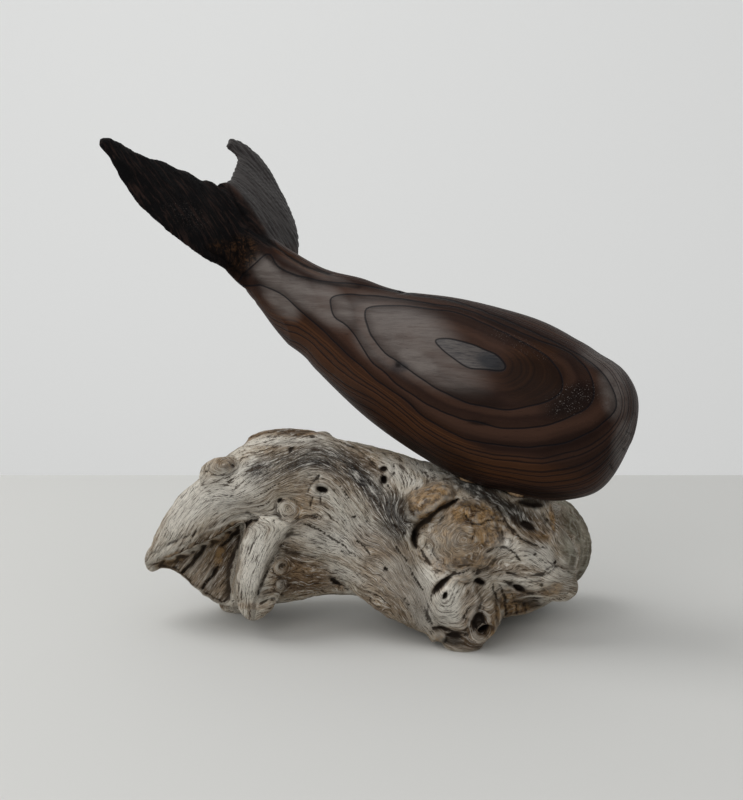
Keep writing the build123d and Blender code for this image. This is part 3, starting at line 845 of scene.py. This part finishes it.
# The slate tones also paint the whale's shadow on the root
SLATE_AND_SHADOW_TONES = ((88, 87, 82), (32, 30, 28))
CHAR_TONES = ((88, 86, 83), (36, 34, 34))
STONE_TONES = ((136, 130, 114), (90, 82, 66))
VEIN, TAN, PALE, WHITE = (168, 166, 150), (126, 105, 82), (222, 217, 206), (230, 225, 215)
# The last tone of the next row is painted shade, for grooves, holes, creases and the whale's shadow
FIBRE_DARK, THIN_DARK, PIT_DARK, DEEP_SHADE_TINT = (60, 46, 34), (52, 41, 32), (44, 36, 29), (32, 24, 17)
# The first two tones of the next row are painted shade in wide and in small hollows
WIDE_HOLLOW_SHADE, SMALL_HOLLOW_SHADE, WORN = (72, 54, 37), (44, 34, 25), (214, 208, 196)


def open_view(points):
    """1 where nothing lies in front of a point, in the photograph's view."""
    depth = (points - EYE) @ LOOK
    columns, rows = PHOTO_WIDTH // VIEW_CELL, PHOTO_HEIGHT // VIEW_CELL
    cell = tuple(np.clip((to_photo(points) / VIEW_CELL).astype(int), 0, (columns, rows)).T)
    front = np.full((columns + 1, rows + 1), np.inf)
    np.minimum.at(front, cell, depth)
    return 1 - ramp(depth - front[cell], *HIDDEN_DEPTHS)


def thumb_form(pixels):
    """Pixels beside the thumb's middle line, its share of the surface and its height."""
    across, down = pixels.T
    line = np.array(THUMB, float)
    beside = across - np.interp(down, line[:, 1], line[:, 0])
    wide = np.abs(beside) / np.interp(down, line[:, 1], THUMB_HALF)
    share = (1 - ramp(wide, 0.8, 1.15)) * ramp(down, *THUMB_START)
    height = THUMB_HEIGHT * share * np.sqrt(np.clip(1.3 - wide ** 2, 0, 1)) * (1 - ramp(down, *THUMB_END))
    return beside, share, height


def fibre_flow(pixels, mm, beside, thumb):
    """How far across the fibres each point of the near side lies, in millimetres."""
    places = np.array([spot for _, *path in FIBRES for spot in path], float)
    values = np.array([value for value, *path in FIBRES for _ in path], float)
    flow = smooth_field(places / FIBRE_UNIT, values, pixels / FIBRE_UNIT, FIBRE_SLACK)
    flow += (beside * 0.5 + 40 - flow) * thumb
    ragged = 1 + 0.22 * noise(mm / 9, 23) + 0.10 * noise(mm / 4, 29)
    curls = 2.4 * noise(mm / 3.6, 83)
    for x, y, length, width, angle in KNOTS:
        gap = oval_gap(pixels, x, y, length, width, angle) * ragged
        here = flow[np.argmin(gap)]
        rings = here + (1 - gap) * math.sqrt(length * width) * 0.55 + curls * min(1, length / 30)
        round_it = here + (flow - here) * (1 - 1 / np.maximum(gap, 1) ** 3)
        flow = np.where(gap < 1, rings, round_it)
    return flow


def near_forms(pixels, mm, shift):
    """Height of the near side's plates, lumps, grooves and holes, in millimetres, and the painted shade
    that darkens the grooves and holes.
    """
    shaken = pixels + shift
    push, painted_shade = np.zeros(len(mm)), np.zeros(len(mm))
    for soft, height, *outline in PLATES:
        push += height * inside(shaken, outline, soft)
    for *oval, height, flat in LUMPS:
        push += height * np.clip(1 - oval_gap(shaken, *oval) ** flat, 0, 1) ** 0.8
    ragged = 1 + 0.55 * noise(mm / 4, 19)
    tone = 0.65 + 0.35 * noise(mm / 2.5, 29)
    for width, depth, *path in GROOVES:
        gap, along = path_gap(shaken, path)
        reach = width * (0.35 + 0.65 * ramp(along * (1 - along), 0, 0.16)) * ragged
        push -= depth * np.exp(-(gap / (reach * 1.25)) ** 2)
        # Painted shade along the groove
        shade = np.exp(-(gap / (reach * 0.8)) ** 2) * min(0.9, 0.3 + depth / 8) * tone
        painted_shade = np.maximum(painted_shade, shade)
    for *oval, depth in HOLES:
        gap = oval_gap(pixels + shift * 0.8, *oval)
        push -= depth * (1 - ramp(gap, 0.5, 1.25))
        # Painted shade inside the hole
        painted_shade = np.maximum(painted_shade, (1 - ramp(gap, 0.6, 1.15)) * min(1.0, 0.45 + depth / 5))
    return push, painted_shade


def make_root(whale):
    """The root's surface, with its fibres, forms and patches of colour, among them painted shade and
    painted shadow.
    """
    skin = Skin("driftwood_base", "driftwood_root", ROOT_VOXEL)
    first = skin.points
    skin.points = first + (skin.eased(45) - first) * ramp(first[:, 2:], *FOOT_FADE)
    belly = BVHTree.FromPolygons(whale.points.tolist(), whale.quads.tolist())
    room = np.array([belly.find_nearest(spot)[3] for spot in skin.points])
    free = ramp(room, *FREE_ROOM) * ramp(first[:, 2], *FREE_ROOM)
    normals = skin.normals()
    mask = skin.blurred(skin.seen(normals) * open_view(skin.points), 2)
    pixels = to_photo(skin.points)
    mm = skin.points / MM
    x, y, z = mm.T

    # Forms of the near side, pushed along the line of sight
    beside, thumb, thumb_height = thumb_form(pixels)
    flow = fibre_flow(pixels, mm, beside, thumb)
    shift = 0.8 * tremble(mm / 3.5, 11, 3)
    push, painted_shade = near_forms(pixels, mm, shift)
    push += thumb_height

    # Relief everywhere: low swells, then fibres that stand along the flow
    bend = layers(mm / 34, 5) * 5
    near_flow = np.column_stack([flow / 2.1, x / 24, z / 24])
    back_flow = np.column_stack([x / 30, (y + bend) / 2.4, z / 2.4])
    fibre = layers(near_flow, 31) * mask + layers(back_flow, 37) * (1 - mask)
    colours = {name: spots(pixels, table) for name, table in ROOT_SPOTS.items()}
    grainy = colours["gold"] * mask
    relief = layers(mm / 24, 3) * 1.1 + layers(mm / 8, 7) * 0.5
    relief += (fibre * 0.42 - 1.6 * ramp(fibre, 0.62, 1.15)) * (1 - 0.8 * grainy)
    relief += layers(mm / 2.6, 71) * (0.10 + 0.40 * grainy)
    for i in range(FAR_KNOTS):
        spot = mm[(i * SPREAD + SPREAD_START) % len(mm)]
        gap = np.linalg.norm(mm - spot, axis=1) / (5 + 5 * ((i * 37) % 10) / 10)
        relief += (1 - mask) * np.clip(1 - gap ** 2, 0, 1) * (1.8 if i % 3 else -2.2)
    skin.points -= LOOK * (push * mask * free * MM)[:, None]
    skin.points += normals * (relief * free * MM)[:, None]
    skin.points[:, 2] = np.maximum(skin.points[:, 2], 0)

    # What the material reads
    shaken = pixels + shift
    ridge = 1 - ramp(path_gap(shaken, RIDGE_PATH)[0], 3, 7)
    broken = 0.8 * inside(shaken, PLATES[0][2:], 2)
    # The painted shade of grooves and holes joins that of the spots
    colours["painted_shade"] = np.maximum(colours["painted_shade"], painted_shade)
    colours["brown"] = np.maximum.reduce([colours["brown"], broken, ridge])
    colours["char"] = np.clip(1.3 - path_gap(pixels + shift * 2, CHAR_PATH)[0] / 15, 0, 1)
    skin.store({name: values * mask for name, values in colours.items()})
    lobe = ramp(x, 88, 96) * ramp(y, -24, -17)
    outward = skin.normals()
    dents = {name: ((skin.eased(rounds) - skin.points) * outward).sum(axis=1) / MM
             for name, rounds in (("hollow", 12), ("wide_hollow", 60))}
    skin.store({**dents, "near_side": mask, "flow": flow, "bend": bend,
                "stone": np.maximum(spots(pixels, STONE_SPOTS) * mask, lobe)})
    skin.finish("driftwood_base", root_material())


def root_material():
    """Dry grey wood with fibres, brown hollows, golden knots and charred bands, with painted shade in its
    hollows, grooves and holes and a painted shadow of the whale.
    """
    g = Graph("weathered_driftwood")
    place = g.place(1000, 1000, 1000)
    x, y, z = g.new("SeparateXYZ", {0: place})
    near_place = g.join(g.read("flow"), g.times(x, 0.1), g.times(z, 0.1))
    back_place = g.join(g.plus(y, g.read("bend")), g.times(x, 0.07), z)

    def fibres(scale, detail, rough):
        """Noise drawn out along the fibres."""
        back, front = (g.noise(where, scale, detail, rough) for where in (back_place, near_place))
        return g.blend(g.read("near_side"), back, front)

    fine, thin, broad = fibres(1.7, 4, 0.72), fibres(4.4, 3, 0.7), fibres(0.33, 3, 0.6)
    patch, speck = g.noise(place, 0.04), g.noise(place, 0.95, 5, 0.72)
    clump, cloud = g.noise(place, 0.26, 6, 0.74), g.noise(place, 0.12, 4, 0.6)
    pits = g.noise(g.added(near_place, place, 0.35), 1.1, 3, 0.6)
    cells = {"Vector": g.curled(place, 0.1, 16), "Scale": 0.07}
    vein = g.step(g.new("TexVoronoi", cells, feature="DISTANCE_TO_EDGE")["Distance"], 0, 0.09)
    stone = g.mix(g.plus(g.times(vein, -0.5), 0.5), g.mix(g.step(cloud, 0.4, 0.6), *STONE_TONES), VEIN)
    plain = g.rest(g.most(g.share("gold", 0.7), g.share("stone", 0.7)))
    hollow = g.read("hollow")

    colour = g.coats(g.mix(g.step(patch, 0.35, 0.65), *GREY_TONES), (
        (g.step(broad, 0.45, 0.66, 0, 0.7), TAN),
        (g.share("pale", 0.8), PALE),
        (g.share("brown", 0.88), g.mix(g.step(broad, 0.4, 0.6), *HOLLOW_TONES)),
        (g.times(g.read("gold"), g.step(patch, 0.25, 0.5, 0.75, 1)),
         g.mix(g.step(clump, 0.38, 0.62), *GOLD_TONES)),
        # Slate-grey wood, and the painted shadow of the whale under its belly
        (g.share("slate_and_shadow", 0.95), g.mix(g.step(fine, 0.4, 0.62), *SLATE_AND_SHADOW_TONES)),
        (g.times(g.read("char"), g.step(g.plus(speck, broad), 0.72, 1.12, 0.35, 1)),
         g.mix(g.step(pits, 0.45, 0.6), *CHAR_TONES)),
        (g.share("stone", 0.9), stone),
        (g.times(g.step(fine, 0.53, 0.61, 0, 0.9), plain), FIBRE_DARK),
        (g.times(g.step(thin, 0.55, 0.64, 0, 0.88), plain), THIN_DARK),
        (g.times(g.step(fine, 0.47, 0.36, 0, 0.7), plain), WHITE),
        (g.step(pits, 0.66, 0.74, 0, 0.8), PIT_DARK),
        # Painted shade in wide and in small hollows
        (g.step(g.read("wide_hollow"), 0.3, 2.8, 0, 0.7), WIDE_HOLLOW_SHADE),
        (g.step(hollow, 0.09, 0.5, 0, 0.8), SMALL_HOLLOW_SHADE),
        (g.step(hollow, -0.08, -0.7, 0, 0.35), WORN),
        # Painted shade and shadow in grooves, holes, creases and under the whale
        (g.share("painted_shade", 0.9), DEEP_SHADE_TINT),
    ))
    height = g.plus(g.plus(g.times(fine, -1), g.times(thin, -0.5)), g.times(speck, 0.5))
    return g.surface(colour, 0.9, 0.2, g.bump(height, 0.0016, 0.9))


def dowel_material():
    """Pale beech with fine flecks along the grain."""
    g = Graph("dowel_beech")
    fleck = g.noise(g.place(1800, 1800, 120), 1, 3)
    return g.surface(g.mix(fleck, (196, 160, 118), (222, 190, 150)), 0.6)


# Sheets of the stage: name, first and last edge as places along y and z, and tint
STAGE_HALF_WIDTH = 2.4
SHEETS = (
    ("table", (-1.3, 0.0), (0.306, 0.0), (209, 209, 206)),
    ("backdrop", (1.5, -0.6), (1.5, 2.2), (249, 250, 249)),
)
# Light: an even sky, and lamps with their places, sizes in metres and power in watts
SKY_TINT, SKY_STRENGTH = (240, 240, 240), 0.65
LAMPS = (("key", (-0.80, 0.05, 1.25), 1.1, 8.5), ("fill", (-0.7, -1.3, 0.7), 1.1, 6))
LAMP_TARGET = np.array((0.0, 0.0, 0.1))


def make_stage():
    """Pale table with a far edge, and a pale backdrop far behind it."""
    for name, start, end, tint in SHEETS:
        ends = ((-1, start), (1, start), (1, end), (-1, end))
        corners = [(side * STAGE_HALF_WIDTH, *edge) for side, edge in ends]
        mesh = bpy.data.meshes.new(name)
        mesh.from_pydata(corners, [], [(0, 1, 2, 3)])
        mesh.materials.append(Graph("pale_" + name).surface(tint, 0.7, 0.2))
        sheet = bpy.data.objects.new(name, mesh)
        bpy.context.scene.collection.objects.link(sheet)


def make_light():
    """A broad key from the upper left, a fill from the front and an even sky."""
    world = bpy.data.worlds.new("studio")
    bpy.context.scene.world = world
    world.use_nodes = True
    sky = world.node_tree.nodes["Background"]
    sky.inputs["Color"].default_value = srgb(SKY_TINT)
    sky.inputs["Strength"].default_value = SKY_STRENGTH
    for name, place, size, power in LAMPS:
        light = bpy.data.lights.new(name, "AREA")
        light.shape = "DISK"
        light.size = size
        light.energy = power
        lamp = bpy.data.objects.new(name, light)
        lamp.location = place
        lamp.rotation_euler = aim_angles(LAMP_TARGET - np.array(place))
        bpy.context.scene.collection.objects.link(lamp)


def aim_angles(direction):
    """Turn of a lamp or camera that looks along a direction, with its top up."""
    x, y, z = direction
    return (math.atan2(math.hypot(x, y), -z), 0.0, math.atan2(-x, y))


def make_camera():
    """The camera that took the photograph."""
    camera = bpy.data.cameras.new("camera")
    camera.sensor_fit = "HORIZONTAL"
    camera.sensor_width = SENSOR_WIDTH
    camera.lens = SENSOR_WIDTH * FOCAL_PIXELS / PHOTO_WIDTH
    camera.clip_start = 0.01
    view = bpy.data.objects.new("camera", camera)
    view.location = EYE
    view.rotation_euler = aim_angles(LOOK)
    bpy.context.scene.collection.objects.link(view)
    bpy.context.scene.camera = view


make_camera()
make_stage()
make_light()
make_root(make_whale())
for dowel in ("front_dowel", "rear_dowel"):
    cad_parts[dowel].data.materials.clear()
    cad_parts[dowel].data.materials.append(dowel_material())
bpy.context.scene.view_settings.view_transform = "Standard"
